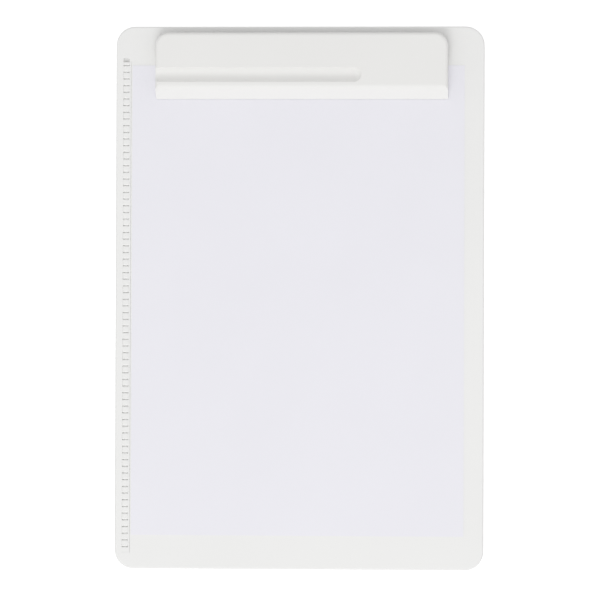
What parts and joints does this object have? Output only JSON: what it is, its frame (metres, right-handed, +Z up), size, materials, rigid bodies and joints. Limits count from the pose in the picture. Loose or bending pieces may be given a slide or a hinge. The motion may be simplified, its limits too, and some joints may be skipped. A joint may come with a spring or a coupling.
{
  "type": "storage clipboard box",
  "caption": "A4 clipboard box: a shallow tray whose comb-hinged lid is the writing board, with a sprung clip that has a pen channel.",
  "frame": {"origin": "under the middle of the closed box, on the surface that its feet stand on", "axes": "+X to the board's free side (right), +Y to the clip's end (rear), +Z up; the lid hinge is on the left, along Y"},
  "size_m": [0.233, 0.343, 0.0293],
  "materials": {
    "shell_white": "white injection-moulded plastic with a fine satin texture",
    "clip_white": "white injection-moulded plastic, smoother than the board",
    "rod_white": "plain extruded white plastic rod",
    "paper_white": "uncoated bright white office paper",
    "plated_steel": "zinc-plated steel",
    "spring_steel": "drawn spring wire",
    "foot_rubber": "soft light grey rubber",
    "pad_rubber": "soft white rubber"
  },
  "bodies": {
    "base": {"tray": "shell_white", "foot_front_left": "foot_rubber", "foot_front_right": "foot_rubber", "foot_rear_left": "foot_rubber", "foot_rear_right": "foot_rubber", "hinge_rod": "rod_white"},
    "board": {"lid": "shell_white", "paper_sheet": "paper_white", "clip_base": "plated_steel", "base_rivets": "plated_steel", "clip_rod": "plated_steel", "push_nut_left": "plated_steel", "push_nut_right": "plated_steel", "clip_spring_left": "spring_steel", "clip_spring_right": "spring_steel"},
    "clip": {"clip_flap": "clip_white", "jaw_pad": "pad_rubber"}
  },
  "joints": [
    {"name": "lid_hinge", "type": "hinge", "parent": "base", "child": "board", "pos_m": [-0.11, 0, 0.01645], "axis": [0, -1, 0], "range_deg": [0, 100]},
    {"name": "clip_pivot", "type": "hinge", "parent": "board", "child": "clip", "pos_m": [0.0013, 0.15, 0.024], "axis": [-1, 0, 0], "range_deg": [0, 12], "stiffness_Nm_per_rad": 0.5, "springref_deg": -34.38, "deforming": ["clip_spring_left", "clip_spring_right"]}
  ]
}
